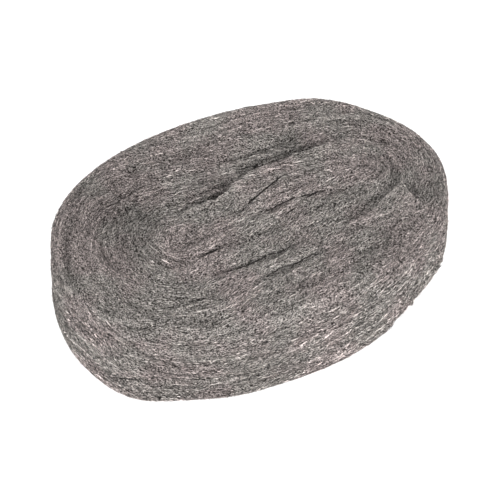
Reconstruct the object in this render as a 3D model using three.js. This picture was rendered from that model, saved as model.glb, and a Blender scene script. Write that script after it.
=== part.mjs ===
// Steel wool hand pad, lying flat: a handful of fine steel wool slivers, laid side by side and wound
// together into one oval pad. Every sliver starts at the core under the pad, runs out along the
// underside, climbs round the wall, comes over the shoulder and winds in to the whorl on top. The wool
// felts into one soft mass, so the pad is one solid, and the turns show as crowns with grooves between.
// Millimetres, +Z up, +X along the pad's length, origin under the middle of the pad.
import * as THREE from "three";
import { mergeVertices } from "three/addons/utils/BufferGeometryUtils.js";

// Overall size of the smooth pad, before its turns swell and drift
const LENGTH = 128;
const WIDTH = 89;
const THICKNESS = 39.5;

// Plan outline: a superellipse, a little wider at its -X end and bowed towards -Y
const OUTLINE_POWER = 2.25;
const END_TAPER = 0.043;
const BOW = 0.8;

// Bulges and dents of that outline: direction in degrees from +X towards +Y, reach to each side in degrees,
// and how far out
const BULGES = [
  { angle: 0, reach: 13, out: 1 },
  { angle: 28, reach: 15, out: -1 },
  { angle: 54, reach: 13, out: 1 },
  { angle: 108, reach: 13, out: -0.7 },
  { angle: 135, reach: 17, out: 0.7 },
  { angle: 162, reach: 13, out: -1.3 },
  { angle: 180, reach: 12, out: 0.7 },
  { angle: 216, reach: 13, out: 0.8 },
  { angle: 234, reach: 13, out: -1 },
  { angle: 279, reach: 17, out: 0.8 },
  { angle: 306, reach: 13, out: -1.4 },
];

// Core: the straight fold that the slivers are wound around
const CORE_LENGTH = 65;
const CORE_MIDDLE_X = 3.5;
const CORE_MIDDLE_Y = 2;

// Section through the wall: the shoulder and the base round into the widest height, the girth
const GIRTH_HEIGHT = 20;
const SHOULDER_REACH = 9;
const BASE_REACH = 9;
const WALL_POWER = 2.8;
const CROWN_DROP = 1.6; // from the core down to the shoulder

// Winding: slivers wound together, and how many of their turns lie on each face of the pad
const SLIVERS = 5;
const TURNS_ON_FACE = 6;
const TURNS_ON_WALL = 8;
const TURNS = 2 * TURNS_ON_FACE + TURNS_ON_WALL;

// Turns: how deep the grooves are on each face, and how the crowns between them stand
const TOP_GROOVE = 0.6;
const WALL_GROOVE = 0.5;
const BASE_GROOVE = 0.8;
const CROWN_POWER = 2.4;
const SLIVER_RISE = [0.2, 0.45, 0, 0.3, -0.1]; // each sliver's crown against a level one
const BASE_PRESS = 1.7; // how much wider the crowns are pressed where the pad lies on them

// Drift: the turns stray sideways, and their grooves come and go. Waves are counted once round the pad,
// and shifts are radians from one turn to the next.
const DRIFT = 0.32; // as a share of one turn
const DRIFT_WAVES = 2;
const DRIFT_SHIFT = 1.3;
const UNEVENNESS = 0.75; // as a share of the groove's depth
const LONG_WAVES = 2;
const LONG_SHIFT = 0.7;
const SHORT_WAVES = 3;
const SHORT_SHIFT = -2.1;

// Fades, in turns: over how many turns one form gives way to the next
const FACE_FADE = 1;
const DRIFT_FADE = 2;
const PRESS_FADE = 2;
const CORE_FADE = 1;
const SWELL_FADE = 2;

// Partings: where the wool has split along a groove. Each runs between two directions round the pad, in
// degrees from +X towards +Y, and two places, in turns out from the top of the core. The groove nearest to
// it strays over to it, and the wool inside or outside it may stand up in a lip.
const PARTING_REACH = 0.24; // to each side, in turns
const STRAY_REACH = 1.5; // how far to each side the turns stray along, in turns
const STRAY_RUN = 25; // how far past a parting's ends its groove is back on its own line, in degrees
const PARTINGS = [
  { angles: [107, 135], places: [0.82, 0.44], depth: 2.6, innerLip: 0.9 },
  { angles: [41, 98], places: [3.2, 1.6], depth: 2.2, innerLip: 0.8 },
  { angles: [269, 290], places: [1.38, 1.25], depth: 1.3 },
  { angles: [293, 307], places: [1.35, 1.75], depth: 1.1 },
  { angles: [292, 305], places: [3.45, 4.05], depth: 1.5 },
  { angles: [307, 336], places: [4.08, 4.22], depth: 1.5, outerLip: 0.6 },
  { angles: [234, 247], places: [2.8, 2.34], depth: 1.7 },
  { angles: [234, 276], places: [3.78, 3.2], depth: 1.6 },
  { angles: [224, 249], places: [5.32, 4.44], depth: 1.2 },
  { angles: [258, 275], places: [4.44, 4.6], depth: 1.1 },
  { angles: [207, 227], places: [7.4, 6.9], depth: 1.3 },
  { angles: [228, 246], places: [9.9, 10.3], depth: 1.2 },
  { angles: [203, 217], places: [11.3, 10.5], depth: 1 },
  { angles: [160, 200], places: [4.5, 4], depth: 0.9 },
  { angles: [75, 115], places: [4.7, 4.2], depth: 0.9 },
  { angles: [345, 380], places: [5.6, 5.2], depth: 1.1 },
  { angles: [262, 300], places: [9, 8.5], depth: 0.9 },
  { angles: [50, 95], places: [9.4, 8.9], depth: 1.1 },
  { angles: [120, 150], places: [8.3, 7.9], depth: 1 },
  { angles: [335, 365], places: [9.6, 9.2], depth: 1 },
];

// Swells and hollows of the top face: centre, reach along X and Y, and rise
const SWELLS = [
  { x: -43, y: 8, alongX: 12, alongY: 15, rise: -2.6 },
  { x: -27, y: 0, alongX: 7, alongY: 5, rise: 1.2 },
  { x: 8, y: 5, alongX: 22, alongY: 6, rise: 1.6 },
  { x: 12, y: 19, alongX: 24, alongY: 5, rise: -1.6 },
  { x: 47, y: 2, alongX: 9, alongY: 12, rise: -2.0 },
  { x: 40, y: -19, alongX: 12, alongY: 7, rise: 1.2 },
];

// Facets: columns round the pad, stations across one sliver from its groove over its crown, and the
// steps that the wall's section is drawn with
const COLUMNS = 72;
const STATIONS = [0, 0.16, 0.5, 0.84];
const FIRST_HALF_COLUMN = -23; // half columns round from +X: brings most grooves near to the partings
const WALL_STEPS = 48;
const MERGE_DISTANCE = 1e-3;

const steel = new THREE.MeshStandardMaterial({ color: 0x827c79, roughness: 0.55, metalness: 0.6 });

const { clamp, degToRad, euclideanModulo, lerp, smoothstep } = THREE.MathUtils;
const FULL_TURN = 2 * Math.PI;
const FIRST_ANGLE = (FIRST_HALF_COLUMN * FULL_TURN) / (2 * COLUMNS);

// Signed power, for superellipses
function bulge(value, power) {
  return Math.sign(value) * Math.abs(value) ** (2 / power);
}

// Where the plan outline lies in the direction of a winding angle
function outlinePoint(angle) {
  const along = bulge(Math.cos(angle), OUTLINE_POWER);
  const across = bulge(Math.sin(angle), OUTLINE_POWER);
  const y = (WIDTH / 2) * across * (1 - END_TAPER * along) - BOW * along * along;
  const smooth = new THREE.Vector2((LENGTH / 2) * along, y);
  const outward = smooth.clone().sub(corePoint(angle)).normalize();
  return smooth.addScaledVector(outward, outlineBulge(angle));
}

// How far the outline bulges out there
function outlineBulge(angle) {
  let out = 0;
  for (const one of BULGES) {
    const past = angleBetween(degToRad(one.angle), angle);
    out += one.out * Math.exp(-((past / degToRad(one.reach)) ** 2));
  }
  return out;
}

// How far one angle lies past another, from minus half a turn to half a turn
function angleBetween(start, angle) {
  return euclideanModulo(angle - start + Math.PI, FULL_TURN) - Math.PI;
}

// Where the core lies in that direction. It is the same point for an angle and its opposite across X.
function corePoint(angle) {
  return new THREE.Vector2(CORE_MIDDLE_X + (CORE_LENGTH / 2) * Math.cos(angle), CORE_MIDDLE_Y);
}

// The wall's section, from the shoulder over the girth to the base, as (inset from the outline, height)
function wallSection() {
  const points = [];
  for (let step = 0; step <= WALL_STEPS; step++) {
    const turn = Math.PI * (0.5 - step / WALL_STEPS);
    const upper = turn > 0;
    const reach = upper ? SHOULDER_REACH : BASE_REACH;
    const rise = upper ? THICKNESS - CROWN_DROP - GIRTH_HEIGHT : GIRTH_HEIGHT;
    const inset = reach * (1 - bulge(Math.cos(turn), WALL_POWER));
    points.push(new THREE.Vector2(inset, GIRTH_HEIGHT + rise * bulge(Math.sin(turn), WALL_POWER)));
  }
  return new THREE.SplineCurve(points);
}
const wall = wallSection();

// The smooth pad under the turns: a point's inset, height and outward direction at a place along the
// section, counted in turns from the top of the core to the core on the underside
function sectionAt(place, ray) {
  if (place < TURNS_ON_FACE) {
    const out = place / TURNS_ON_FACE;
    const inset = lerp(ray, SHOULDER_REACH, out);
    return { inset, height: THICKNESS - CROWN_DROP * out ** 2, outward: new THREE.Vector2(0, 1) };
  }
  const under = place - TURNS_ON_FACE - TURNS_ON_WALL;
  if (under > 0) {
    const inset = lerp(BASE_REACH, ray, under / TURNS_ON_FACE);
    return { inset, height: 0, outward: new THREE.Vector2(0, -1) };
  }
  const along = (place - TURNS_ON_FACE) / TURNS_ON_WALL;
  const point = wall.getPointAt(along);
  const tangent = wall.getTangentAt(along);
  return { inset: point.x, height: point.y, outward: new THREE.Vector2(-tangent.y, -tangent.x) };
}

// How far the pad is pressed flat: 0 on the top and wall, and 1 where it lies on its underside
function pressAt(place) {
  const baseStart = TURNS - TURNS_ON_FACE;
  return smoothstep(place, baseStart - PRESS_FADE, baseStart);
}

// How far a sliver's surface stands above its groove: 0 in the groove and 1 on the crown
function crown(share, press) {
  const round = 1 - Math.abs(2 * share - 1) ** CROWN_POWER;
  return Math.min(1, round * lerp(1, BASE_PRESS, press));
}

function grooveDepth(place) {
  const wallStart = TURNS_ON_FACE;
  const baseStart = TURNS - TURNS_ON_FACE;
  const ontoWall = smoothstep(place, wallStart - FACE_FADE, wallStart + FACE_FADE);
  const ontoBase = smoothstep(place, baseStart - FACE_FADE, baseStart + FACE_FADE);
  return lerp(lerp(TOP_GROOVE, WALL_GROOVE, ontoWall), BASE_GROOVE, ontoBase);
}

// Sideways drift of the turns, held still at the core
function drift(angle, place) {
  const free = smoothstep(Math.min(place, TURNS - place), 0, DRIFT_FADE);
  return DRIFT * free * Math.sin(DRIFT_WAVES * angle + DRIFT_SHIFT * place);
}

function unevenness(angle, place) {
  const long = Math.sin(LONG_WAVES * angle + LONG_SHIFT * place);
  const short = Math.sin(SHORT_WAVES * angle + SHORT_SHIFT * place);
  return 1 + UNEVENNESS * long * short;
}

// A parting's middle, its half-length in radians, and the groove that it opens there
function settledParting({ angles, places, depth, innerLip = 0, outerLip = 0 }) {
  const [start, end] = angles.map(degToRad);
  const middle = (start + end) / 2;
  const half = (end - start) / 2;
  const spot = (places[0] + places[1]) / 2;
  const slope = (places[1] - places[0]) / (end - start);
  const wound = (SLIVERS * (middle - FIRST_ANGLE)) / FULL_TURN;
  const groove = Math.round(spot + wound) - wound;
  return { middle, half, spot, slope, groove, depth, innerLip, outerLip };
}
const partings = PARTINGS.map(settledParting);

// How many turns out from a parting's groove a place lies
function turnsAway(parting, past, place) {
  return place - parting.groove + (SLIVERS * past) / FULL_TURN;
}

// How far the turns stray sideways to reach the partings, held still at the core
function stray(angle, place) {
  let total = 0;
  for (const parting of partings) {
    const past = angleBetween(parting.middle, angle);
    const within = clamp(past, -parting.half, parting.half);
    const shift = turnsAway(parting, within, parting.spot + parting.slope * within);
    const along = 1 - smoothstep(Math.abs(past), parting.half, parting.half + degToRad(STRAY_RUN));
    const beside = 1 - smoothstep(Math.abs(turnsAway(parting, past, place)), 0, STRAY_REACH);
    total += shift * along * beside;
  }
  return total * smoothstep(Math.min(place, TURNS - place), 0, CORE_FADE);
}

// A lip's rise across one turn: 0 at both edges and 1 in its middle
function lipRise(away) {
  return Math.max(0, 1 - (2 * away - 1) ** 2);
}

// How far the wool sinks into the partings, less the rise of their lips
function partingDepth(angle, place) {
  let depth = 0;
  for (const parting of partings) {
    const past = angleBetween(parting.middle, angle);
    if (Math.abs(past) < parting.half) {
      const away = turnsAway(parting, past, place);
      const cut = parting.depth * Math.max(0, 1 - Math.abs(away) / PARTING_REACH);
      const lip = parting.innerLip * lipRise(-away) + parting.outerLip * lipRise(away);
      depth += (cut - lip) * Math.cos((Math.PI / 2) * (past / parting.half));
    }
  }
  return depth;
}

function swell(x, y) {
  let rise = 0;
  for (const one of SWELLS) {
    const far = ((x - one.x) / one.alongX) ** 2 + ((y - one.y) / one.alongY) ** 2;
    rise += one.rise * Math.exp(-far);
  }
  return rise;
}

// A point of the pad's surface: on one column, at a place along the section, at a share of its sliver
function surfacePoint(angle, place, line, share) {
  const outline = outlinePoint(angle);
  const core = corePoint(angle);
  const ray = outline.distanceTo(core);
  const direction = outline.clone().sub(core).divideScalar(ray);
  const { inset, height, outward } = sectionAt(place + drift(angle, place) + stray(angle, place), ray);
  const press = pressAt(place);
  const standing = crown(share, press);
  const groove = grooveDepth(place) * (1 - standing) * unevenness(angle, place);
  const rise = SLIVER_RISE[line % SLIVERS] * standing * (1 - press);
  const awayFromCore = smoothstep(Math.min(place, TURNS - place), 0, CORE_FADE);
  const sunk = (groove - rise + partingDepth(angle, place)) * awayFromCore;
  const plan = outline.clone().addScaledVector(direction, -inset - outward.x * sunk);
  let z = height - outward.y * sunk;
  if (place < TURNS_ON_FACE) {
    const onTop = 1 - smoothstep(place, TURNS_ON_FACE - SWELL_FADE, TURNS_ON_FACE);
    z += swell(plan.x, plan.y) * onTop;
  }
  return [plan.x, plan.y, Math.max(z, 0)];
}

// The wound surface. Rows follow the slivers, so each column lies a little further along the winding
// than the last, and the last column joins the first one SLIVERS turns on.
function padGeometry() {
  const across = STATIONS.length;
  const rows = (TURNS + SLIVERS) * across + 1;
  const positions = [];
  for (let column = 0; column < COLUMNS; column++) {
    const round = column / COLUMNS;
    const angle = FIRST_ANGLE + FULL_TURN * round;
    for (let row = 0; row < rows; row++) {
      const line = Math.floor(row / across);
      const share = STATIONS[row % across];
      const place = clamp(line + share - SLIVERS * round, 0, TURNS);
      positions.push(...surfacePoint(angle, place, line, share));
    }
  }
  const vertexAt = (column, row) => {
    const wound = column === COLUMNS ? Math.max(row - SLIVERS * across, 0) : row;
    return (column % COLUMNS) * rows + wound;
  };
  const faces = [];
  for (let column = 0; column < COLUMNS; column++) {
    for (let row = 0; row < rows - 1; row++) {
      const here = vertexAt(column, row);
      const outer = vertexAt(column, row + 1);
      const next = vertexAt(column + 1, row);
      const nextOuter = vertexAt(column + 1, row + 1);
      faces.push(here, outer, nextOuter, here, nextOuter, next);
    }
  }
  return closeUp(positions, faces);
}

// Merges the vertices that meet on the core and drops the faces that shrank to a line there
function closeUp(positions, faces) {
  const loose = new THREE.BufferGeometry();
  loose.setAttribute("position", new THREE.Float32BufferAttribute(positions, 3));
  loose.setIndex(faces);
  const merged = mergeVertices(loose, MERGE_DISTANCE);
  const corners = merged.index.array;
  const kept = [];
  for (let at = 0; at < corners.length; at += 3) {
    const [a, b, c] = corners.slice(at, at + 3);
    if (a !== b && b !== c && c !== a) {
      kept.push(a, b, c);
    }
  }
  merged.setIndex(kept);
  merged.computeVertexNormals();
  return merged;
}

// Stood over the origin by its own box, because the drifting turns leave it a little to one side
function centred(geometry) {
  geometry.computeBoundingBox();
  const middle = geometry.boundingBox.getCenter(new THREE.Vector3());
  return geometry.translate(-middle.x, -middle.y, 0);
}

const pad = new THREE.Mesh(centred(padGeometry()), steel);
pad.name = "steel_wool_pad";

const group = new THREE.Group();
group.add(pad);

export default group;
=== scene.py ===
"""Looks of a steel wool hand pad: the felted body of its wound slivers, and the steel shavings on it."""
import math
from typing import NamedTuple

import bmesh
import bpy
import numpy as np
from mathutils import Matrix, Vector, kdtree
from mathutils.bvhtree import BVHTree


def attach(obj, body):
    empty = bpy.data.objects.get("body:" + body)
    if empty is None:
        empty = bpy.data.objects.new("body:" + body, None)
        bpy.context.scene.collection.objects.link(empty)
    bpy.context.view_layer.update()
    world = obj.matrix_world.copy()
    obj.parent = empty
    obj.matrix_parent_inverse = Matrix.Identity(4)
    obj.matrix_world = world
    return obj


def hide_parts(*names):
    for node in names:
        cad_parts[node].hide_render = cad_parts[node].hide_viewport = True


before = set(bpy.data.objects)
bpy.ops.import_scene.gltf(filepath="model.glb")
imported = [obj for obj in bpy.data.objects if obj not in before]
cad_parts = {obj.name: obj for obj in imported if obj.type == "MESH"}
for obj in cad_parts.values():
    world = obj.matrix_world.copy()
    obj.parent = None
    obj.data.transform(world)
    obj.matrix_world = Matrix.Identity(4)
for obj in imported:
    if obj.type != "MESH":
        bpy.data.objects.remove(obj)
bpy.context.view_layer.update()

MM = 0.001
UP = (0, 0, 1)
SMALLEST = 1e-9  # nothing is divided by less
PAD_NODE = "steel_wool_pad"
PAD_BODY = "root"

# Sockets that share their names with others, by their place on a Mix or a Random Value node
MIX_NUMBER_A, MIX_NUMBER_B = 2, 3
MIX_COLOUR_A, MIX_COLOUR_B = 6, 7
LOWEST_VECTOR, HIGHEST_VECTOR = 0, 1
LOWEST_NUMBER, HIGHEST_NUMBER = 2, 3

# Camera: a short telephoto that looks down on the pad's left front
CAMERA_AZIMUTH = math.radians(-25.76)
CAMERA_ELEVATION = math.radians(50.14)
CAMERA_DISTANCE = 650 * MM
CAMERA_TARGET = Vector((-0.84, -0.9, 18)) * MM
FOCAL_PIXELS = 2092
IMAGE_SIDE = 500
SENSOR_WIDTH = 36

# Studio: a white paper floor, an even pale surround and broad soft lamps, in metres and watts
FLOOR_SIDE = 4.0
PAPER_COLOUR = "#b0b0b0"
PAPER_GLOW = "#e0e0e0"
SURROUND_COLOUR = "#c6c6c6"
LAMPS = {
    "front_softbox": {"place": (0.35, -1.15, 0.55), "size": 1.4, "power": 24.5},
    "left_softbox": {"place": (-1.2, -0.1, 0.45), "size": 1.4, "power": 22},
    "back_softbox": {"place": (0.5, 0.9, 0.9), "size": 1.6, "power": 12},
}

# Winding: the core that the slivers are wound around, and how steeply they climb as they go round
CORE_ENDS_X = (-26 * MM, 39 * MM)
CORE_Y = -1.6 * MM
WALL_PULL = 0.1  # how much the wall's own direction counts against the core's
CLIMB = 0.04  # rise across the section for each length along it
FRONT_CLIMB = 0.18  # how much more it is on the front, and less on the back
CORNER_DROP = 0.9  # how steeply the wool drops over the rim between the left end and the front

# Wool body: mesh size, and how far the solid's facets and grooves are softened
VOXEL = 0.66 * MM
MERGE_DISTANCE = 0.001 * MM
SOFTENING_ROUNDS = 4
SETTLING_ROUNDS = 1
BODY_SINK = 0.15 * MM  # the shavings lie on the body, so it stays a little under the solid's skin
BASE_COVER = 0.25  # share of the shavings that the underside gets
BASE_FACING = -0.7  # faces that look down more than this are the underside
TOP_STRANDS = 0.3  # share of the long strands that the top gets

# Relief of the wool: spots of random height drawn out along the lay into streaks
RELIEF_SEED = 11
LAY_STEP = 1.1 * MM
FINE_SPOT_ROUNDS = 0
FINE_STREAK_STEPS = 5
FINE_STREAK_HEIGHT = 0.07 * MM
STRAND_SPOT_ROUNDS = 1
STRAND_STREAK_STEPS = 14
STRAND_STREAK_HEIGHT = 0.09 * MM
BROAD_SPOT_ROUNDS = 10
BROAD_STREAK_STEPS = 16
BROAD_STREAK_HEIGHT = 0.14 * MM
BUMP_SPOT_ROUNDS = 2
BUMP_STREAK_STEPS = 0
HOLLOW_ROUNDS = 30
HOLLOW_DEPTH = 0.8 * MM  # wool this far below what is round it gets all of a hollow's painted shade
HOLLOW_PAINTED_SHADE = 0.2

# Cracks of the felt: they follow the lines where wider streaks change sign, and open here and there
CRACK_SPOT_ROUNDS = 5
CRACK_STREAK_STEPS = 14
CRACK_SMOOTHING = 2
CRACK_GAPE = 0.1 * MM  # half the width of the open gap, which is painted dark as its shade
CRACK_DEPTH = 0.3 * MM
CUT_REACH = 0.6 * MM  # how far to each side the wool sinks towards a crack
OPENING_SPOT_ROUNDS = 8
OPENING_STREAK_STEPS = 7
OPENING_START = 0.6  # streaks over this open a crack
OPENING_RISE = 1.0
CREASE_OPENING = (-2.6, -0.6)  # streaks below the first close a crease, and over the second it is open

# Creases: how far their lips, hollows and bends reach
CREASE_STEPS = 24  # points looked up from one corner of a line to the next
CREASE_REACH = 8 * MM
LIP_PLACE = 1.3 * MM
LIP_REACH = 1.0 * MM
LIP_PAINTED_HIGHLIGHT = 0.3  # painted highlight on a lip: the shade that a lip of 1 mm takes away
HOLLOW_REACH = 3.0 * MM
BEND_REACH = 2.0 * MM  # how far to each side the wool turns to run along a crease
SIDE_FADE = 0.6 * MM  # over which the wool in front of a crease gives way to the wool behind it


class Crease(NamedTuple):
    """A main parting of the wool: a line of pixels in the photograph, left to right, and sizes in mm.

    The gape is half the width of the gap, which is painted dark as its shade. The wool in front of the
    line may stand up in a lip, which takes a painted highlight, and the wool behind it may sink into a
    hollow, with a painted shade from 0 to 1.
    """
    line: tuple
    gape: float
    depth: float
    lip: float = 0.0
    hollow: float = 0.0
    shade: float = 0.0


CREASES = {
    "tongue_back": Crease(
        line=((179, 218), (188, 207), (200, 204), (214, 200), (224, 194), (228, 186), (239, 180),
              (247, 173)),
        gape=0.18, depth=0.4, lip=1.2, hollow=1.6, shade=0.4),
    "tongue_ridge": Crease(
        line=((247, 173), (265, 166), (284, 160), (293, 154), (309, 149), (328, 142), (340, 140)),
        gape=0.03, depth=0.05, lip=0.4, hollow=0.2, shade=0.12),
    "tongue_split": Crease(
        line=((236, 215), (244, 209), (250, 201), (258, 195), (265, 189), (272, 183), (281, 176),
              (303, 168), (318, 166)),
        gape=0.24, depth=0.5),
    "tongue_root": Crease(
        line=((205, 224), (219, 218), (232, 214), (245, 208)),
        gape=0.15, depth=0.2),
    "tongue_front": Crease(
        line=((267, 211), (278, 205), (288, 200), (297, 197), (313, 193), (322, 191), (341, 189),
              (350, 187)),
        gape=0.2, depth=0.3),
    "tongue_tick": Crease(
        line=((285, 215), (290, 211), (297, 207)),
        gape=0.22, depth=0.2),
    "front_tick": Crease(
        line=((314, 209), (320, 205), (328, 201)),
        gape=0.18, depth=0.2),
    "flap_left": Crease(
        line=((343, 224), (360, 217), (370, 211), (381, 200), (392, 189), (402, 180)),
        gape=0.08, depth=0.1, lip=0.5, hollow=0.3, shade=0.15),
    "flap_right": Crease(
        line=((401, 180), (407, 186), (412, 193), (420, 199), (429, 205)),
        gape=0.1, depth=0.1, lip=0.4, hollow=0.4, shade=0.25),
    "short_split": Crease(
        line=((197, 258), (206, 254), (214, 250), (222, 247), (232, 242)),
        gape=0.24, depth=0.3),
    "long_split": Crease(
        line=((204, 280), (216, 274), (226, 271), (237, 268), (247, 264), (260, 259), (272, 253),
              (285, 249), (300, 242), (307, 239)),
        gape=0.12, depth=0.2),
    "front_split": Crease(
        line=((166, 310), (181, 305), (198, 300), (212, 297), (228, 290)),
        gape=0.14, depth=0.2),
    "front_crease": Crease(
        line=((262, 278), (280, 268), (297, 263), (306, 257), (325, 248)),
        gape=0.14, depth=0.2),
    "rim_groove": Crease(
        line=((118, 322), (131, 329), (146, 328), (161, 325)),
        gape=0.12, depth=0.3),
    "left_rim": Crease(
        line=((82, 182), (71, 200), (65, 225), (63, 250), (66, 275), (74, 300)),
        gape=0.05, depth=0.2, lip=0.35, hollow=0.3, shade=0.3),
    "wall_split": Crease(
        line=((164, 379), (203, 380), (250, 375)),
        gape=0.22, depth=0.3),
    "left_wall_split": Crease(
        line=((105, 378), (125, 380), (145, 381)),
        gape=0.2, depth=0.3),
}


class Dip(NamedTuple):
    """A place where the wool differs from what is round it: a pixel in the photograph, and sizes in mm.

    The wool there lies lower by the depth, or higher where that is below 0, and takes a painted shade of
    the shade's amount, or painted light where that is below 0. Where it is loose, from 0 to 1, its turns
    are level and its shavings stray, and where it is rough it has small bumps of that height.
    """
    place: tuple
    reach: float
    depth: float = 0.0
    shade: float = 0.0
    loose: float = 0.0
    rough: float = 0.0


DIPS = {
    "left_hollow": Dip(place=(116, 212), reach=11, depth=0.4, shade=0.28, loose=0.2),
    "whorl_side": Dip(place=(142, 212), reach=8, depth=0.4, shade=0.15, loose=0.4),
    "whorl": Dip(place=(162, 239), reach=3.5, depth=-0.4, shade=-0.2, loose=1.0),
    "tongue": Dip(place=(240, 193), reach=4, depth=-0.5, shade=-0.25),
    "tongue_valley": Dip(place=(216, 187), reach=4.5, depth=0.4, shade=0.4),
    "ridge_valley": Dip(place=(294, 147), reach=6, depth=0.5, shade=0.35),
    "flap_valley": Dip(place=(388, 166), reach=6, depth=0.3, shade=0.2, loose=1.0),
    "end_valley": Dip(place=(428, 184), reach=5, depth=0.3, shade=0.2, loose=0.9),
    "flap": Dip(place=(405, 205), reach=9, depth=-0.3, loose=0.9),
    "right_top": Dip(place=(352, 215), reach=14, depth=0.3, shade=0.1),
    "right_end": Dip(place=(418, 228), reach=7, loose=0.7),
    # These three only paint shade on the wool, and lie no lower
    "right_front": Dip(place=(385, 268), reach=13, shade=0.12),
    "left_back": Dip(place=(150, 160), reach=9, shade=0.15),
    "left_rim": Dip(place=(110, 320), reach=5, shade=0.15),
    "right_edge": Dip(place=(436, 264), reach=4, rough=0.8),
    "lower_right_edge": Dip(place=(423, 283), reach=4, rough=0.9),
    "front_right_edge": Dip(place=(406, 303), reach=4, rough=0.9),
    "front_edge": Dip(place=(388, 321), reach=4, rough=0.7),
}
LOOSE_ROUNDS = 40
LOOSE_STRAY = 2.0  # how many times more the shavings stray where the wool is loose

# Shavings: strips of steel with a three-cornered section
SHAVING_CORNERS = 3
SHAVING_WIDTHS = (0.6, 1.2)  # thinnest and thickest, as shares of a layer's width
SHAVING_LENGTHS = (0.5, 1.2)  # shortest and longest, as shares of a layer's length
SECTION_RADIUS = 0.5  # a section is one unit wide until it is scaled
END_SHARE = 0.4  # width left at a shaving's ends
DIVE = 0.16 * MM  # how far the ends dive into the wool
ARCH_END = 0.5  # an arch is one unit long until it is stretched
ARCH_STEPS = 12
HANDLE_LIFT = 2.0  # an arch rises half as far as its middle handle
BELLY_MIDDLE = 0.25  # what the taper's curve comes to in the middle of a shaving
CURL_SPOT = 1.8 * MM
CURL_SHIFT = 100.0  # each shaving has its own place in the curl, up to this far away
NOISE_MIDDLE = 0.5
NOISE_SWING = 2.0  # makes a noise that strays half a unit from its middle stray a whole one
SIDE_LIMIT = -1.0  # in metres, far past the pad, so that only the height is held
STRAY_SEED = 100.0  # added to a layer's seed
LENGTH_SEED = 200.0  # added to a layer's seed

# Layers of shavings: real ones are about 0.05 mm wide, too fine to show, so these are wider and fewer
SHAVING_LAYERS = {
    "laid_shavings_deep": {
        "Where": "cover", "Seed": 21, "Points": 2, "Density": 1.2e6, "Spacing": 0.35 * MM,
        "Length": 2.1 * MM, "Width": 0.17 * MM, "Lift": 0.05 * MM, "Tip": 0.1 * MM,
        "Curl": 0.05 * MM, "Spread": math.radians(9), "Shine": 0.0,
    },
    "laid_shavings_middle": {
        "Where": "cover", "Seed": 22, "Points": 2, "Density": 1.2e6, "Spacing": 0.35 * MM,
        "Length": 2.0 * MM, "Width": 0.16 * MM, "Lift": 0.1 * MM, "Tip": 0.16 * MM,
        "Curl": 0.06 * MM, "Spread": math.radians(12), "Shine": 0.0,
    },
    "laid_shavings_outer": {
        "Where": "cover", "Seed": 23, "Points": 2, "Density": 1.2e6, "Spacing": 0.35 * MM,
        "Length": 1.9 * MM, "Width": 0.17 * MM, "Lift": 0.14 * MM, "Tip": 0.22 * MM,
        "Curl": 0.08 * MM, "Spread": math.radians(16), "Shine": 0.0,
    },
    "long_strands": {
        "Where": "wall", "Seed": 24, "Points": 5, "Density": 5e5, "Spacing": 0.6 * MM,
        "Length": 5.5 * MM, "Width": 0.12 * MM, "Lift": 0.14 * MM, "Tip": -DIVE,
        "Curl": 0.12 * MM, "Spread": math.radians(8), "Shine": 0.0,
    },
    # Loose hairs take a painted shine
    "loose_hairs": {
        "Where": "wall", "Seed": 25, "Points": 3, "Density": 1.6e5, "Spacing": 0.5 * MM,
        "Length": 1.2 * MM, "Width": 0.08 * MM, "Lift": 0.25 * MM, "Tip": 0.6 * MM,
        "Curl": 0.3 * MM, "Spread": math.radians(60), "Shine": 0.5,
    },
}

# Colours of the steel: warm and cool patches, and tones from 0, black, to 1, the patch's own colour
COOL_STEEL = "#e8e1db"
WARM_STEEL = "#ecdfdb"
# The painted shade in an open crack, on the wool and on the shavings over it
CRACK_PAINTED_SHADE = "#2a2827"
CRACK_EDGE = 0.05 * MM
PATCH_SIZE = 14 * MM
PATCH_DETAIL = 2.0
PATCH_SPREAD = (0.42, 0.58)  # the noise between two such values fills the whole range
TONE_SPREAD = (0.33, 0.67)
EYE_GAMMA = 2.2
STREAK_TONE = 0.032
# How far the painted shade of hollows, creases and dips darkens the tone, and a painted highlight lightens
# it
PAINTED_SHADE_TONE = 0.3
DARKEST_TONE = 0.08

# Grain of the matted wool, and flecks on the shavings that are painted glints and shade, both as coarse as
# they need to be to show
GRAIN_SIZE = 0.28 * MM
GRAIN_DETAIL = 1.0
GRAIN_RISE = 0.2 * MM
GRAIN_STRENGTH = 0.5
GRAIN_SPREAD = (0.25, 0.75)
# The felt's tones are lower than the shavings': painted shade of the wool that lies under them
SHADED_FELT_TONES = (0.1, 0.7)
FELT_ROUGHNESS = 0.6
FLECK_SIZE = 1.1 * MM
FLECKS_PER_TWIST = 1.0  # the twist is counted in flecks
FLECK_SHARE = 0.5
FLECK_SPREAD = (0.32, 0.68)
SHAVING_TONES = (0.16, 1.02)
SHAVING_ROUGHNESS = 0.5


def linear(hex_colour):
    """An sRGB hex colour as linear red, green, blue and alpha"""
    shares = [int(hex_colour[at:at + 2], 16) / 255 for at in (1, 3, 5)]
    return tuple(s / 12.92 if s <= 0.04045 else ((s + 0.055) / 1.055) ** 2.4 for s in shares) + (1.0,)


def add_node(tree, kind, inputs=(), **settings):
    """A node with its settings. Each input goes by its name or by its place on the node. One given as a
    node or a socket is linked, and any other is set.
    """
    node = tree.nodes.new(kind)
    for name, value in settings.items():
        setattr(node, name, value)
    for key, value in dict(inputs).items():
        if isinstance(value, bpy.types.Node):
            value = next(output for output in value.outputs if output.enabled)
        if isinstance(value, bpy.types.NodeSocket):
            tree.links.new(value, node.inputs[key])
        else:
            node.inputs[key].default_value = value
    return node


def new_material(name):
    material = bpy.data.materials.new(name)
    material.use_nodes = True
    material.node_tree.nodes.clear()
    return material, material.node_tree


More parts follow.
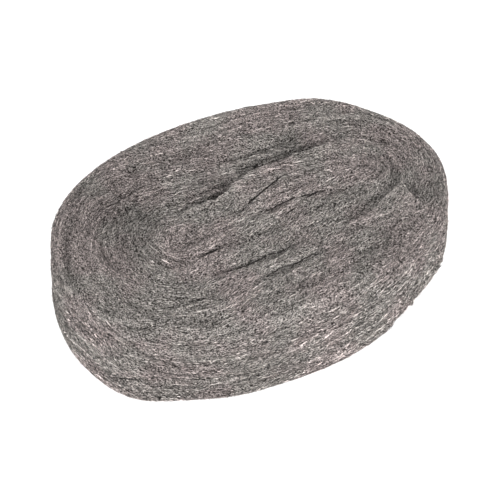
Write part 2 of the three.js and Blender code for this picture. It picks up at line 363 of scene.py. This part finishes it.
def show(name, data):
    """An object of the scene with the given mesh, lamp or camera"""
    shown = bpy.data.objects.new(name, data)
    bpy.context.scene.collection.objects.link(shown)
    return shown


def plain_mesh(piece):
    """The piece's mesh with its modifiers applied and removed"""
    depsgraph = bpy.context.evaluated_depsgraph_get()
    mesh = bpy.data.meshes.new_from_object(piece.evaluated_get(depsgraph))
    piece.modifiers.clear()
    piece.data = mesh
    return mesh


def unit(vectors):
    lengths = np.linalg.norm(vectors, axis=1, keepdims=True)
    return vectors / np.maximum(lengths, SMALLEST)


def read_vectors(items, field):
    values = np.empty(len(items) * 3, np.float32)
    items.foreach_get(field, values)
    return values.reshape(-1, 3).astype(float)


def set_points(mesh, points):
    mesh.vertices.foreach_set("co", points.astype(np.float32).ravel())
    mesh.update()


def store(mesh, name, kind, values):
    attribute = mesh.attributes.new(name, kind, "POINT")
    field = "vector" if kind == "FLOAT_VECTOR" else "value"
    attribute.data.foreach_set(field, values.astype(np.float32).ravel())


def point_tree(points):
    tree = kdtree.KDTree(len(points))
    for at, point in enumerate(points):
        tree.insert(point, at)
    tree.balance()
    return tree


def lay_of(points, normals):
    """Which way the wool lies: round the core on the faces and round the wall, with a climb as it goes"""
    core = np.column_stack((np.clip(points[:, 0], *CORE_ENDS_X), np.full(len(points), CORE_Y)))
    away = unit(points[:, :2] - core)
    outward = normals * (WALL_PULL, WALL_PULL, 0)
    outward[:, :2] += away
    around = np.cross(UP, outward)
    around = unit(around - normals * np.sum(around * normals, axis=1, keepdims=True))
    down_section = np.cross(around, normals)
    corner = np.maximum(-away[:, :1], 0) * np.maximum(-away[:, 1:], 0)
    climb = CLIMB - FRONT_CLIMB * away[:, 1:] - CORNER_DROP * corner
    return unit(around - climb * down_section)


class WoolSkin:
    """The body's vertices with their neighbours, to soften values and draw them out along the lay"""

    def __init__(self, mesh):
        self.points = read_vectors(mesh.vertices, "co")
        self.normals = read_vectors(mesh.vertices, "normal")
        edges = np.empty(len(mesh.edges) * 2, np.int32)
        mesh.edges.foreach_get("vertices", edges)
        self.starts, self.ends = edges.reshape(-1, 2).T
        count = len(self.points)
        self.degree = np.bincount(self.starts, minlength=count) + np.bincount(self.ends, minlength=count)
        self.lay = lay_of(self.points, self.normals)

    def neighbour_mean(self, values):
        count = len(values)
        total = np.bincount(self.starts, values[self.ends], count)
        total += np.bincount(self.ends, values[self.starts], count)
        return total / np.maximum(self.degree, 1)

    def soften(self, values, rounds):
        for _ in range(rounds):
            values = (values + self.neighbour_mean(values)) / 2
        return values

    def soften_points(self, points, rounds):
        return np.column_stack([self.soften(points[:, axis], rounds) for axis in range(3)])

    def slope(self, values):
        """How steeply the values rise across the mesh, for each metre. Edges run every way, so the mean of
        their squared rises is half the square of the steepest rise.
        """
        count = len(values)
        square = (values[self.ends] - values[self.starts]) ** 2
        total = np.bincount(self.starts, square, count) + np.bincount(self.ends, square, count)
        return np.sqrt(2 * total / np.maximum(self.degree, 1)) / VOXEL

    def find_steps(self):
        """For each vertex, the nearest one a step ahead of it and a step behind it along the lay"""
        tree = point_tree(self.points)
        self.ahead = np.array([tree.find(p)[1] for p in self.points + LAY_STEP * self.lay])
        self.behind = np.array([tree.find(p)[1] for p in self.points - LAY_STEP * self.lay])

    def streaks(self, random, spot_rounds, steps):
        """Random spots, softened and drawn out along the lay, with a mean of 0 and a spread of 1"""
        spots = self.soften(random.standard_normal(len(self.points)), spot_rounds)
        total = spots.copy()
        for step in (self.ahead, self.behind):
            place = np.arange(len(spots))
            for _ in range(steps):
                place = step[place]
                total += spots[place]
        return (total - total.mean()) / total.std()


def camera_axes():
    back = Vector((
        math.sin(CAMERA_AZIMUTH) * math.cos(CAMERA_ELEVATION),
        -math.cos(CAMERA_AZIMUTH) * math.cos(CAMERA_ELEVATION),
        math.sin(CAMERA_ELEVATION),
    ))
    return CAMERA_TARGET + back * CAMERA_DISTANCE, (-back).to_track_quat("-Z", "Y")


def make_camera():
    camera = show("camera", bpy.data.cameras.new("camera"))
    camera.rotation_mode = "QUATERNION"
    camera.location, camera.rotation_quaternion = camera_axes()
    camera.data.sensor_width = SENSOR_WIDTH
    camera.data.lens = FOCAL_PIXELS * SENSOR_WIDTH / IMAGE_SIDE
    bpy.context.scene.camera = camera


def pixel_points(surface, pixels):
    """Points on the body under a line of pixels"""
    eye, turn = camera_axes()
    corners = np.array(pixels, float)
    along = np.linspace(0, len(corners) - 1, CREASE_STEPS * (len(corners) - 1))
    xs = np.interp(along, np.arange(len(corners)), corners[:, 0])
    ys = np.interp(along, np.arange(len(corners)), corners[:, 1])
    middle = IMAGE_SIDE / 2
    found = []
    for x, y in zip(xs, ys):
        ray = turn @ Vector((x - middle, middle - y, -FOCAL_PIXELS)).normalized()
        hit = surface.ray_cast(eye, ray)[0]
        if hit is not None:
            found.append(hit)
    return np.array(found)


class NearCrease(NamedTuple):
    """The body's vertices near a crease, and for each its distance from the line, its side of it, above 0
    in front, a fade from 1 in the middle of the line to 0 at its ends, and the way the line runs
    """
    vertices: np.ndarray
    away: np.ndarray
    side: np.ndarray
    fade: np.ndarray
    way: np.ndarray


def near_crease(skin, line):
    ways = unit(np.gradient(line, axis=0))
    low = line.min(axis=0) - CREASE_REACH
    high = line.max(axis=0) + CREASE_REACH
    vertices = np.flatnonzero(np.all((skin.points > low) & (skin.points < high), axis=1))
    tree = point_tree(line)
    nearest = [tree.find(point) for point in skin.points[vertices]]
    at = np.array([found[1] for found in nearest])
    away = np.array([found[2] for found in nearest])
    frontward = np.cross(ways[at], skin.normals[vertices])
    side = np.sum((skin.points[vertices] - line[at]) * frontward, axis=1)
    fade = np.sqrt(np.sin(np.pi * (at + 1) / (len(line) + 1)))
    return NearCrease(vertices, away, side, fade, ways[at])


def bend_lay(skin, near):
    """Turns the wool beside a crease to run along it"""
    lay = skin.lay[near.vertices]
    same_way = np.sign(np.sum(lay * near.way, axis=1))
    pull = near.fade * np.exp(-(near.away / BEND_REACH) ** 2)
    skin.lay[near.vertices] = unit(lay + pull[:, None] * (same_way[:, None] * near.way - lay))


class Cracks:
    """For each vertex: its distance from the nearest crack, below 0 behind it, half that crack's width,
    how far the wool rises or sinks there, and its painted shade, below 0 for a painted highlight
    """

    def __init__(self, skin, random):
        split = skin.streaks(random, CRACK_SPOT_ROUNDS, CRACK_STREAK_STEPS)
        split = skin.soften(split, CRACK_SMOOTHING)
        opening = skin.streaks(random, OPENING_SPOT_ROUNDS, OPENING_STREAK_STEPS)
        openness = np.clip((opening - OPENING_START) / OPENING_RISE, 0, 1)
        self.crease_openness = np.interp(opening, CREASE_OPENING, (0, 1))
        self.gap = split / np.maximum(skin.slope(split), SMALLEST)
        self.gape = CRACK_GAPE * openness
        self.rise = -CRACK_DEPTH * openness * np.exp(-(self.gap / CUT_REACH) ** 2)
        self.shade = np.zeros(len(skin.points))

    def add_crease(self, crease, near):
        front = np.clip(near.side / SIDE_FADE, -1, 1)
        lip = crease.lip * np.exp(-((near.away - LIP_PLACE) / LIP_REACH) ** 2) * np.maximum(front, 0)
        behind = np.exp(-(near.away / HOLLOW_REACH) ** 2) * np.maximum(-front, 0) * near.fade
        cut = crease.depth * np.exp(-(near.away / CUT_REACH) ** 2)
        self.rise[near.vertices] += ((lip - cut) * near.fade - crease.hollow * behind) * MM
        # Painted shade in the hollow behind the crease, and a painted highlight on its lip
        self.shade[near.vertices] += crease.shade * behind - LIP_PAINTED_HIGHLIGHT * lip * near.fade
        closer = near.away < np.abs(self.gap[near.vertices])
        own = near.vertices[closer]
        self.gap[own] = (np.sign(near.side) * near.away)[closer]
        self.gape[own] = (crease.gape * MM * near.fade)[closer] * self.crease_openness[own]

    def add_dip(self, dip, nearness):
        self.rise -= dip.depth * MM * nearness
        # A dip's painted shade, or painted light where its shade is below 0
        self.shade += dip.shade * nearness


def softened_pad():
    """A copy of the pad's solid with its triangles merged, remeshed evenly and its facets softened"""
    merged = bmesh.new()
    merged.from_mesh(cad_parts[PAD_NODE].data)
    bmesh.ops.remove_doubles(merged, verts=merged.verts, dist=MERGE_DISTANCE)
    mesh = bpy.data.meshes.new("wool_body")
    merged.to_mesh(mesh)
    merged.free()
    body = show("wool_body", mesh)
    remesh = body.modifiers.new("remesh", "REMESH")
    remesh.mode = "VOXEL"
    remesh.voxel_size = VOXEL
    mesh = plain_mesh(body)
    skin = WoolSkin(mesh)
    set_points(mesh, skin.soften_points(skin.points, SOFTENING_ROUNDS))
    return body


def store_wool(mesh, skin, strands, cracks, loose):
    """Keeps on the body what its material and its shavings read"""
    final = WoolSkin(mesh)
    around = final.soften_points(final.points, HOLLOW_ROUNDS)
    sunk = np.sum((around - final.points) * final.normals, axis=1)
    cover = np.where(final.normals[:, 2] < BASE_FACING, BASE_COVER, 1.0)
    # hollow: painted shade where the wool lies below what is round it, in crease hollows and dips, and
    # painted highlights on lips and where a dip's shade is below 0
    store(mesh, "hollow", "FLOAT", HOLLOW_PAINTED_SHADE * np.clip(sunk / HOLLOW_DEPTH, 0, 1) + cracks.shade)
    store(mesh, "streak", "FLOAT", strands)
    store(mesh, "cover", "FLOAT", cover)
    store(mesh, "wall", "FLOAT", cover * np.clip(1 - final.normals[:, 2], TOP_STRANDS, 1))
    store(mesh, "gap", "FLOAT", cracks.gap)
    store(mesh, "gape", "FLOAT", cracks.gape)
    store(mesh, "lay", "FLOAT_VECTOR", skin.lay)
    store(mesh, "stray", "FLOAT", 1 + LOOSE_STRAY * loose)


def make_wool_body():
    """The felted mass: the solid's own form, softened, with streaks and cracks along the lay"""
    body = softened_pad()
    mesh = body.data
    skin = WoolSkin(mesh)
    surface = BVHTree.FromPolygons([v.co for v in mesh.vertices], [p.vertices for p in mesh.polygons])
    near_creases = {}
    for name, crease in CREASES.items():
        near_creases[name] = near_crease(skin, pixel_points(surface, crease.line))
        bend_lay(skin, near_creases[name])
    skin.find_steps()

    # Relief: streaks, then cracks and creases, then the dips
    random = np.random.default_rng(RELIEF_SEED)
    fine = skin.streaks(random, FINE_SPOT_ROUNDS, FINE_STREAK_STEPS)
    strands = skin.streaks(random, STRAND_SPOT_ROUNDS, STRAND_STREAK_STEPS)
    broad = skin.streaks(random, BROAD_SPOT_ROUNDS, BROAD_STREAK_STEPS)
    height = FINE_STREAK_HEIGHT * fine + STRAND_STREAK_HEIGHT * strands + BROAD_STREAK_HEIGHT * broad
    cracks = Cracks(skin, random)
    for name, crease in CREASES.items():
        cracks.add_crease(crease, near_creases[name])
    loose = np.zeros(len(skin.points))
    rough = np.zeros(len(skin.points))
    for dip in DIPS.values():
        middle = pixel_points(surface, (dip.place, dip.place))[0]
        nearness = np.exp(-(np.linalg.norm(skin.points - middle, axis=1) / (dip.reach * MM)) ** 2)
        cracks.add_dip(dip, nearness)
        loose = np.maximum(loose, dip.loose * nearness)
        rough = np.maximum(rough, dip.rough * MM * nearness)
    bumps = skin.streaks(random, BUMP_SPOT_ROUNDS, BUMP_STREAK_STEPS)

    # The wool moves to its new height, settles, and stays on the floor
    level = skin.soften_points(skin.points, LOOSE_ROUNDS)
    points = skin.points + loose[:, None] * (level - skin.points)
    points += skin.normals * (height + rough * bumps + cracks.rise - BODY_SINK)[:, None]
    points = skin.soften_points(points, SETTLING_ROUNDS)
    points[:, 2] = np.maximum(points[:, 2], 0)
    set_points(mesh, points)
    store_wool(mesh, skin, strands, cracks, loose)
    mesh.polygons.foreach_set("use_smooth", np.ones(len(mesh.polygons), bool))
    mesh.materials.clear()
    mesh.materials.append(felted_steel_wool())
    return body


def steel_colour(tree, tone, tones):
    """The steel's colour at a tone from 0 to 1: warm and cool patches, painted shade and highlights, and
    painted shade in the open cracks
    """
    place = add_node(tree, "ShaderNodeTexCoord").outputs["Object"]
    patch = add_node(tree, "ShaderNodeTexNoise", {
        "Vector": place, "Scale": 1 / PATCH_SIZE, "Detail": PATCH_DETAIL})
    spread = add_node(tree, "ShaderNodeMapRange", {
        "Value": patch, "From Min": PATCH_SPREAD[0], "From Max": PATCH_SPREAD[1]})
    patches = add_node(tree, "ShaderNodeMix", {
        "Factor": spread, MIX_COLOUR_A: linear(COOL_STEEL), MIX_COLOUR_B: linear(WARM_STEEL),
    }, data_type="RGBA")

    # Tone: streaks lighten or darken it, the painted shade of hollows, creases and dips darkens it,
    # painted highlights lighten it, and the eye's curve makes it a share of light
    level = add_node(tree, "ShaderNodeMapRange", {
        "Value": tone, "From Min": TONE_SPREAD[0], "From Max": TONE_SPREAD[1],
        "To Min": tones[0], "To Max": tones[1]})
    streak = add_node(tree, "ShaderNodeAttribute", attribute_name="streak").outputs["Fac"]
    hollow = add_node(tree, "ShaderNodeAttribute", attribute_name="hollow").outputs["Fac"]
    drawn = add_node(tree, "ShaderNodeMath", {
        0: streak, 1: STREAK_TONE, 2: level}, operation="MULTIPLY_ADD")
    sunk = add_node(tree, "ShaderNodeMath", {
        0: hollow, 1: -PAINTED_SHADE_TONE, 2: drawn}, operation="MULTIPLY_ADD")
    seen = add_node(tree, "ShaderNodeMath", {0: sunk, 1: DARKEST_TONE}, operation="MAXIMUM")
    light = add_node(tree, "ShaderNodeMath", {0: seen, 1: EYE_GAMMA}, operation="POWER")
    toned = add_node(tree, "ShaderNodeMix", {
        "Factor": 1.0, MIX_COLOUR_A: patches, MIX_COLOUR_B: light,
    }, data_type="RGBA", blend_type="MULTIPLY")

    # Cracks: painted shade within half a crack's width of its line, where the crack is open
    gap = add_node(tree, "ShaderNodeAttribute", attribute_name="gap").outputs["Fac"]
    gape = add_node(tree, "ShaderNodeAttribute", attribute_name="gape").outputs["Fac"]
    away = add_node(tree, "ShaderNodeMath", {0: gap}, operation="ABSOLUTE")
    inside = add_node(tree, "ShaderNodeMath", {0: gape, 1: away}, operation="SUBTRACT")
    shade = add_node(tree, "ShaderNodeMapRange", {
        "Value": inside, "From Min": -CRACK_EDGE, "From Max": CRACK_EDGE})
    opened = add_node(tree, "ShaderNodeMath", {0: gape, 1: 0.0}, operation="GREATER_THAN")
    dark = add_node(tree, "ShaderNodeMath", {0: shade, 1: opened}, operation="MULTIPLY")
    return add_node(tree, "ShaderNodeMix", {
        "Factor": dark, MIX_COLOUR_A: toned, MIX_COLOUR_B: linear(CRACK_PAINTED_SHADE)}, data_type="RGBA")


def felted_steel_wool():
    """Shaved steel wool seen between its outer shavings: dull metal with a fine matted grain, in lower
    tones that paint the shade of the wool under the shavings
    """
    material, tree = new_material("felted_steel_wool")
    place = add_node(tree, "ShaderNodeTexCoord").outputs["Object"]
    grain = add_node(tree, "ShaderNodeTexNoise", {
        "Vector": place, "Scale": 1 / GRAIN_SIZE, "Detail": GRAIN_DETAIL})
    tone = add_node(tree, "ShaderNodeMapRange", {
        "Value": grain, "From Min": GRAIN_SPREAD[0], "From Max": GRAIN_SPREAD[1]})
    bump = add_node(tree, "ShaderNodeBump", {
        "Height": grain, "Distance": GRAIN_RISE, "Strength": GRAIN_STRENGTH})
    shader = add_node(tree, "ShaderNodeBsdfPrincipled", {
        "Base Color": steel_colour(tree, tone, SHADED_FELT_TONES), "Metallic": 1.0,
        "Roughness": FELT_ROUGHNESS, "Normal": bump})
    add_node(tree, "ShaderNodeOutputMaterial", {"Surface": shader})
    return material


def shaved_steel():
    """Low-carbon steel shaved into strips: each is lighter or darker, with flecks along it of painted
    glints and shade
    """
    material, tree = new_material("shaved_steel")
    own = add_node(tree, "ShaderNodeAttribute", attribute_name="tone").outputs["Fac"]
    twist = add_node(tree, "ShaderNodeAttribute", attribute_name="twist").outputs["Fac"]
    # Flecks along the twist: painted glints and shade
    fleck = add_node(tree, "ShaderNodeTexNoise", {
        "W": twist, "Scale": FLECKS_PER_TWIST, "Detail": 0.0}, noise_dimensions="1D")
    spread = add_node(tree, "ShaderNodeMapRange", {
        "Value": fleck, "From Min": FLECK_SPREAD[0], "From Max": FLECK_SPREAD[1]})
    tone = add_node(tree, "ShaderNodeMix", {
        "Factor": FLECK_SHARE, MIX_NUMBER_A: own, MIX_NUMBER_B: spread}, data_type="FLOAT")
    shader = add_node(tree, "ShaderNodeBsdfPrincipled", {
        "Base Color": steel_colour(tree, tone, SHAVING_TONES), "Metallic": 1.0,
        "Roughness": SHAVING_ROUGHNESS})
    add_node(tree, "ShaderNodeOutputMaterial", {"Surface": shader})
    return material


def shaving_tree():
    """Shavings laid on a wool body along its lay, each a curled strip that dips in and out of the wool"""
    tree = bpy.data.node_groups.new("steel_shavings", "GeometryNodeTree")
    tree.interface.new_socket("Wool", in_out="INPUT", socket_type="NodeSocketGeometry")
    for name in ("Density", "Spacing", "Length", "Width", "Lift", "Tip", "Curl", "Spread", "Shine"):
        tree.interface.new_socket(name, in_out="INPUT", socket_type="NodeSocketFloat")
    for name in ("Points", "Seed"):
        tree.interface.new_socket(name, in_out="INPUT", socket_type="NodeSocketInt")
    tree.interface.new_socket("Where", in_out="INPUT", socket_type="NodeSocketString")
    tree.interface.new_socket("Steel", in_out="INPUT", socket_type="NodeSocketMaterial")
    tree.interface.new_socket("Shavings", in_out="OUTPUT", socket_type="NodeSocketGeometry")
    given = add_node(tree, "NodeGroupInput").outputs

    # Places on the wool, and those that lie in an open crack
    cover = add_node(tree, "GeometryNodeInputNamedAttribute", {"Name": given["Where"]}, data_type="FLOAT")
    scatter = add_node(tree, "GeometryNodeDistributePointsOnFaces", {
        "Mesh": given["Wool"], "Distance Min": given["Spacing"], "Density Max": given["Density"],
        "Density Factor": cover, "Seed": given["Seed"],
    }, distribute_method="POISSON")
    gap = add_node(tree, "GeometryNodeInputNamedAttribute", {"Name": "gap"}, data_type="FLOAT")
    gape = add_node(tree, "GeometryNodeInputNamedAttribute", {"Name": "gape"}, data_type="FLOAT")
    away = add_node(tree, "ShaderNodeMath", {0: gap}, operation="ABSOLUTE")
    inside = add_node(tree, "FunctionNodeCompare", {
        0: gape, 1: away}, data_type="FLOAT", operation="GREATER_THAN")

    # Each shaving's own tone, width and place in the curl, and its turn along the lay, with some stray
    own = add_node(tree, "FunctionNodeRandomValue", {
        LOWEST_VECTOR: (0.0, SHAVING_WIDTHS[0], -CURL_SHIFT),
        HIGHEST_VECTOR: (1.0, SHAVING_WIDTHS[1], CURL_SHIFT), "Seed": given["Seed"],
    }, data_type="FLOAT_VECTOR")
    marked = add_node(tree, "GeometryNodeStoreNamedAttribute", {
        "Geometry": scatter, "Name": "own", "Value": own}, data_type="FLOAT_VECTOR", domain="POINT")
    lay = add_node(tree, "GeometryNodeInputNamedAttribute", {"Name": "lay"}, data_type="FLOAT_VECTOR")
    laid = add_node(tree, "FunctionNodeAlignRotationToVector", {
        "Rotation": scatter.outputs["Rotation"], "Vector": lay}, axis="X", pivot_axis="Z")
    stray_here = add_node(tree, "GeometryNodeInputNamedAttribute", {"Name": "stray"}, data_type="FLOAT")
    one_way = add_node(tree, "ShaderNodeMath", {
        0: given["Spread"], 1: stray_here}, operation="MULTIPLY")
    other_way = add_node(tree, "ShaderNodeMath", {0: one_way, 1: -1.0}, operation="MULTIPLY")
    stray_seed = add_node(tree, "ShaderNodeMath", {0: given["Seed"], 1: STRAY_SEED}, operation="ADD")
    stray = add_node(tree, "FunctionNodeRandomValue", {
        LOWEST_NUMBER: other_way, HIGHEST_NUMBER: one_way, "Seed": stray_seed}, data_type="FLOAT")
    yaw = add_node(tree, "FunctionNodeAxisAngleToRotation", {"Axis": UP, "Angle": stray})
    turned = add_node(tree, "FunctionNodeRotateRotation", {
        "Rotation": laid, "Rotate By": yaw}, rotation_space="LOCAL")
    facing = add_node(tree, "GeometryNodeStoreNamedAttribute", {
        "Geometry": marked, "Name": "turn", "Value": turned}, data_type="QUATERNION", domain="POINT")
    points = add_node(tree, "GeometryNodeDeleteGeometry", {
        "Geometry": facing, "Selection": inside}, domain="POINT")
    turn = add_node(tree, "GeometryNodeInputNamedAttribute", {"Name": "turn"}, data_type="QUATERNION")

    # A low arch for each shaving: its middle lifts off the wool, one end dives in and the other is its tip
    handle = add_node(tree, "ShaderNodeMath", {
        0: given["Lift"], 1: HANDLE_LIFT, 2: DIVE}, operation="MULTIPLY_ADD")
    middle = add_node(tree, "ShaderNodeCombineXYZ", {"Z": handle})
    tip = add_node(tree, "ShaderNodeCombineXYZ", {"X": ARCH_END, "Z": given["Tip"]})
    smooth = add_node(tree, "GeometryNodeCurveQuadraticBezier", {
        "Resolution": ARCH_STEPS, "Start": (-ARCH_END, 0.0, -DIVE), "Middle": middle, "End": tip})
    arch = add_node(tree, "GeometryNodeResampleCurve", {"Curve": smooth, "Count": given["Points"]})
    length_seed = add_node(tree, "ShaderNodeMath", {0: given["Seed"], 1: LENGTH_SEED}, operation="ADD")
    share = add_node(tree, "FunctionNodeRandomValue", {
        LOWEST_NUMBER: SHAVING_LENGTHS[0], HIGHEST_NUMBER: SHAVING_LENGTHS[1], "Seed": length_seed,
    }, data_type="FLOAT")
    length = add_node(tree, "ShaderNodeMath", {0: given["Length"], 1: share}, operation="MULTIPLY")
    stretch = add_node(tree, "ShaderNodeCombineXYZ", {"X": length, "Y": 1.0, "Z": 1.0})
    laid_out = add_node(tree, "GeometryNodeInstanceOnPoints", {
        "Points": points, "Instance": arch, "Rotation": turn, "Scale": stretch})
    arches = add_node(tree, "GeometryNodeRealizeInstances", {"Geometry": laid_out})

    # Curl, kept off the floor
    kept = add_node(tree, "GeometryNodeInputNamedAttribute", {"Name": "own"}, data_type="FLOAT_VECTOR")
    traits = add_node(tree, "ShaderNodeSeparateXYZ", {"Vector": kept}).outputs
    place = add_node(tree, "GeometryNodeInputPosition")
    curl = add_node(tree, "ShaderNodeTexNoise", {
        "Vector": place, "W": traits["Z"], "Scale": 1 / CURL_SPOT, "Detail": 0.0}, noise_dimensions="4D")
    swing = add_node(tree, "ShaderNodeVectorMath", {
        0: curl.outputs["Color"], 1: (NOISE_MIDDLE, NOISE_MIDDLE, NOISE_MIDDLE)}, operation="SUBTRACT")
    sway = add_node(tree, "ShaderNodeMath", {0: given["Curl"], 1: NOISE_SWING}, operation="MULTIPLY")
    swept = add_node(tree, "ShaderNodeVectorMath", {0: swing, "Scale": sway}, operation="SCALE")
    target = add_node(tree, "ShaderNodeVectorMath", {0: place, 1: swept}, operation="ADD")
    lowest = add_node(tree, "ShaderNodeCombineXYZ", {
        "X": SIDE_LIMIT, "Y": SIDE_LIMIT, "Z": given["Width"]})
    above = add_node(tree, "ShaderNodeVectorMath", {0: target, 1: lowest}, operation="MAXIMUM")
    curled = add_node(tree, "GeometryNodeSetPosition", {"Geometry": arches, "Position": above})

    # The cracks below a shaving, so that their painted shade runs on over it
    gap_below = add_node(tree, "GeometryNodeSampleNearestSurface", {
        "Mesh": given["Wool"], "Value": gap, "Sample Position": place}, data_type="FLOAT")
    gape_below = add_node(tree, "GeometryNodeSampleNearestSurface", {
        "Mesh": given["Wool"], "Value": gape, "Sample Position": place}, data_type="FLOAT")
    over_gap = add_node(tree, "GeometryNodeStoreNamedAttribute", {
        "Geometry": curled, "Name": "gap", "Value": gap_below}, data_type="FLOAT", domain="POINT")
    cracked = add_node(tree, "GeometryNodeStoreNamedAttribute", {
        "Geometry": over_gap, "Name": "gape", "Value": gape_below}, data_type="FLOAT", domain="POINT")
    rolled = add_node(tree, "GeometryNodeSetCurveTilt", {"Curve": cracked, "Tilt": traits["Z"]})

    # A three-cornered section that tapers to both ends, in a tone of its own
    run = add_node(tree, "GeometryNodeSplineParameter").outputs
    along = run["Factor"]
    back = add_node(tree, "ShaderNodeMath", {0: 1.0, 1: along}, operation="SUBTRACT")
    belly = add_node(tree, "ShaderNodeMath", {0: along, 1: back}, operation="MULTIPLY")
    taper = add_node(tree, "ShaderNodeMapRange", {
        "Value": belly, "From Max": BELLY_MIDDLE, "To Min": END_SHARE})
    thin = add_node(tree, "ShaderNodeMath", {0: given["Width"], 1: traits["Y"]}, operation="MULTIPLY")
    thick = add_node(tree, "ShaderNodeMath", {0: taper, 1: thin}, operation="MULTIPLY")
    # A layer's Shine raises its lowest tone, a painted shine on its shavings
    tone = add_node(tree, "ShaderNodeMapRange", {"Value": traits["X"], "To Min": given["Shine"]})
    toned = add_node(tree, "GeometryNodeStoreNamedAttribute", {
        "Geometry": rolled, "Name": "tone", "Value": tone}, data_type="FLOAT", domain="POINT")
    twist = add_node(tree, "ShaderNodeMath", {
        0: run["Length"], 1: 1 / FLECK_SIZE, 2: traits["Z"]}, operation="MULTIPLY_ADD")
    twisted = add_node(tree, "GeometryNodeStoreNamedAttribute", {
        "Geometry": toned, "Name": "twist", "Value": twist}, data_type="FLOAT", domain="POINT")
    section = add_node(tree, "GeometryNodeCurvePrimitiveCircle", {
        "Resolution": SHAVING_CORNERS, "Radius": SECTION_RADIUS})
    strips = add_node(tree, "GeometryNodeCurveToMesh", {
        "Curve": twisted, "Profile Curve": section, "Scale": thick, "Fill Caps": True})
    flat = add_node(tree, "GeometryNodeSetShadeSmooth", {"Geometry": strips, "Shade Smooth": False})
    real = add_node(tree, "GeometryNodeRealizeInstances", {"Geometry": flat})
    steel = add_node(tree, "GeometryNodeSetMaterial", {"Geometry": real, "Material": given["Steel"]})
    add_node(tree, "NodeGroupOutput", {"Shavings": steel})
    return tree


def make_shavings(name, body, tree, inputs):
    piece = show(name, body.data.copy())
    modifier = piece.modifiers.new("shavings", "NODES")
    modifier.node_group = tree
    for item in tree.interface.items_tree:
        if item.name in inputs:
            modifier[item.identifier] = inputs[item.name]
    plain_mesh(piece)
    return piece


def white_paper():
    """Matt white paper, which shows white to the eye and in the steel and still takes the pad's shadow"""
    material, tree = new_material("white_paper")
    path = add_node(tree, "ShaderNodeLightPath").outputs
    seen = add_node(tree, "ShaderNodeMath", {
        0: path["Is Camera Ray"], 1: path["Is Glossy Ray"]}, operation="ADD")
    shown = add_node(tree, "ShaderNodeMath", {0: seen, 1: path["Is Transmission Ray"]}, operation="ADD")
    paper = add_node(tree, "ShaderNodeBsdfDiffuse", {"Color": linear(PAPER_COLOUR)})
    glow = add_node(tree, "ShaderNodeEmission", {"Color": linear(PAPER_GLOW), "Strength": shown})
    both = add_node(tree, "ShaderNodeAddShader", {0: paper, 1: glow})
    add_node(tree, "ShaderNodeOutputMaterial", {"Surface": both})
    return material


def make_floor():
    half = FLOOR_SIDE / 2
    corners = [(-half, -half, 0), (half, -half, 0), (half, half, 0), (-half, half, 0)]
    mesh = bpy.data.meshes.new("floor")
    mesh.from_pydata(corners, [], [(0, 1, 2, 3)])
    mesh.materials.append(white_paper())
    show("floor", mesh)


def make_lamp(name, place, size, power):
    lamp = bpy.data.lights.new(name, "AREA")
    lamp.shape = "DISK"
    lamp.size = size
    lamp.energy = power
    light = show(name, lamp)
    light.location = place
    light.rotation_mode = "QUATERNION"
    light.rotation_quaternion = (-Vector(place)).to_track_quat("-Z", "Y")


def make_studio():
    make_floor()
    world = bpy.data.worlds.new("studio")
    bpy.context.scene.world = world
    world.use_nodes = True
    world.node_tree.nodes.clear()
    surround = add_node(world.node_tree, "ShaderNodeBackground", {"Color": linear(SURROUND_COLOUR)})
    add_node(world.node_tree, "ShaderNodeOutputWorld", {"Surface": surround})
    for name, lamp in LAMPS.items():
        make_lamp(name, **lamp)
    bpy.context.scene.view_settings.view_transform = "Standard"


make_camera()
make_studio()
wool_body = make_wool_body()
steel = shaved_steel()
tree = shaving_tree()
shavings = []
for name, sizes in SHAVING_LAYERS.items():
    shavings.append(make_shavings(name, wool_body, tree, {**sizes, "Steel": steel}))
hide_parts(PAD_NODE)
for piece in [wool_body, *shavings]:
    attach(piece, PAD_BODY)
